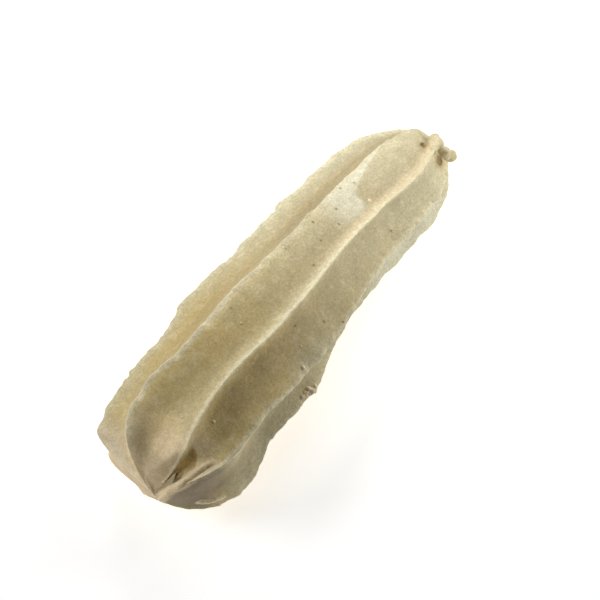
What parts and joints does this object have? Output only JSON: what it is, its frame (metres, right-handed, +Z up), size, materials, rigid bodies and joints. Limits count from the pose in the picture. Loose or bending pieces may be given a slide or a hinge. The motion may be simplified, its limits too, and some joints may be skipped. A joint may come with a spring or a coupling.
{
  "type": "churro",
  "caption": "Short thick churro of raw piped dough with eight ridges, a pinched blunt end and a torn end with a small ragged nub.",
  "frame": {"origin": "middle of the bounding box's base, on the surface that the churro lies on", "axes": "+X along the churro from the pinched end to the torn end, +Z up, +Y to the left of someone who looks along +X"},
  "size_m": [0.0974, 0.031, 0.0271],
  "materials": {
    "dough": "matte raw dough, faintly floury"
  },
  "bodies": {
    "root": {"churro": "dough"}
  },
  "joints": []
}
